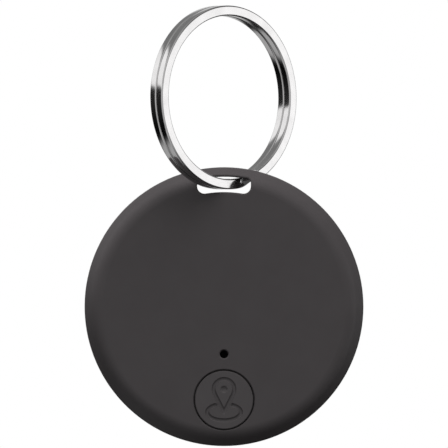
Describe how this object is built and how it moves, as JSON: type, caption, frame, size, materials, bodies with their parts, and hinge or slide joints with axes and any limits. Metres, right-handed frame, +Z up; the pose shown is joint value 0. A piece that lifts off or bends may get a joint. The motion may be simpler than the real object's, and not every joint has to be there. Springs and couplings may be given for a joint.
{
  "type": "bluetooth tracker tag",
  "caption": "Round key-finder tag with a slotted rim on a split ring, a press button, a sound hole, and a coin cell under a rear cover.",
  "frame": {"origin": "inside top of the split ring, where a hook or another ring carries the tag", "axes": "+Z up, the tag hanging below the ring; -Y out of the tag's front face; +X to the right seen from the front"},
  "size_m": [0.038, 0.0184, 0.06],
  "materials": {
    "casing_plastic": "fine-textured satin black ABS",
    "button_plastic": "fine-textured satin black ABS",
    "ring_steel": "nickel-plated, polished",
    "frame_plastic": "moulded, smooth",
    "dark_plastic": "moulded",
    "board": "solder mask on glass-epoxy",
    "chip_epoxy": "moulded epoxy",
    "ceramic_white": "fired ceramic",
    "crystal_can": "plated can",
    "contact_steel": "spring steel, plated",
    "cell_steel": "nickel-plated steel",
    "cell_seal": "nylon",
    "sounder_brass": "rolled",
    "foam": "closed-cell foam tape",
    "mesh_cloth": "fine woven mesh",
    "solder": "tin solder"
  },
  "bodies": {
    "key_ring": {"split_ring": "ring_steel"},
    "tag": {"front_shell": "casing_plastic", "switch_dome": "contact_steel", "switch_body": "dark_plastic", "circuit_board": "board", "radio_chip": "chip_epoxy", "memory_chip": "chip_epoxy", "crystal": "crystal_can", "chip_antenna": "ceramic_white", "capacitors": "ceramic_white", "resistors": "chip_epoxy", "inductor": "dark_plastic", "battery_can": "cell_steel", "battery_cap": "cell_steel", "battery_gasket": "cell_seal", "negative_contact": "contact_steel", "positive_contact": "contact_steel", "solder_joints": "solder", "inner_frame": "frame_plastic", "buzzer_spacer": "foam", "buzzer_plate": "sounder_brass", "buzzer_ceramic": "ceramic_white", "buzzer_contacts": "contact_steel", "acoustic_mesh": "mesh_cloth"},
    "button": {"button_cap": "button_plastic", "switch_plunger": "dark_plastic"},
    "cover": {"rear_cover": "casing_plastic"}
  },
  "joints": [
    {"name": "tag_swing", "type": "hinge", "parent": "key_ring", "child": "tag", "pos_m": [0, 0, -0.0111], "axis": [0.6756, -0.7373, 0], "continuous": true},
    {"name": "button_press", "type": "slide", "parent": "tag", "child": "button", "axis": [0, 1, 0], "range_m": [0, 0.00025], "stiffness_N_per_m": 1200},
    {"name": "cover_pull", "type": "slide", "parent": "tag", "child": "cover", "axis": [0, 1, 0], "range_m": [0, 0.012]}
  ]
}
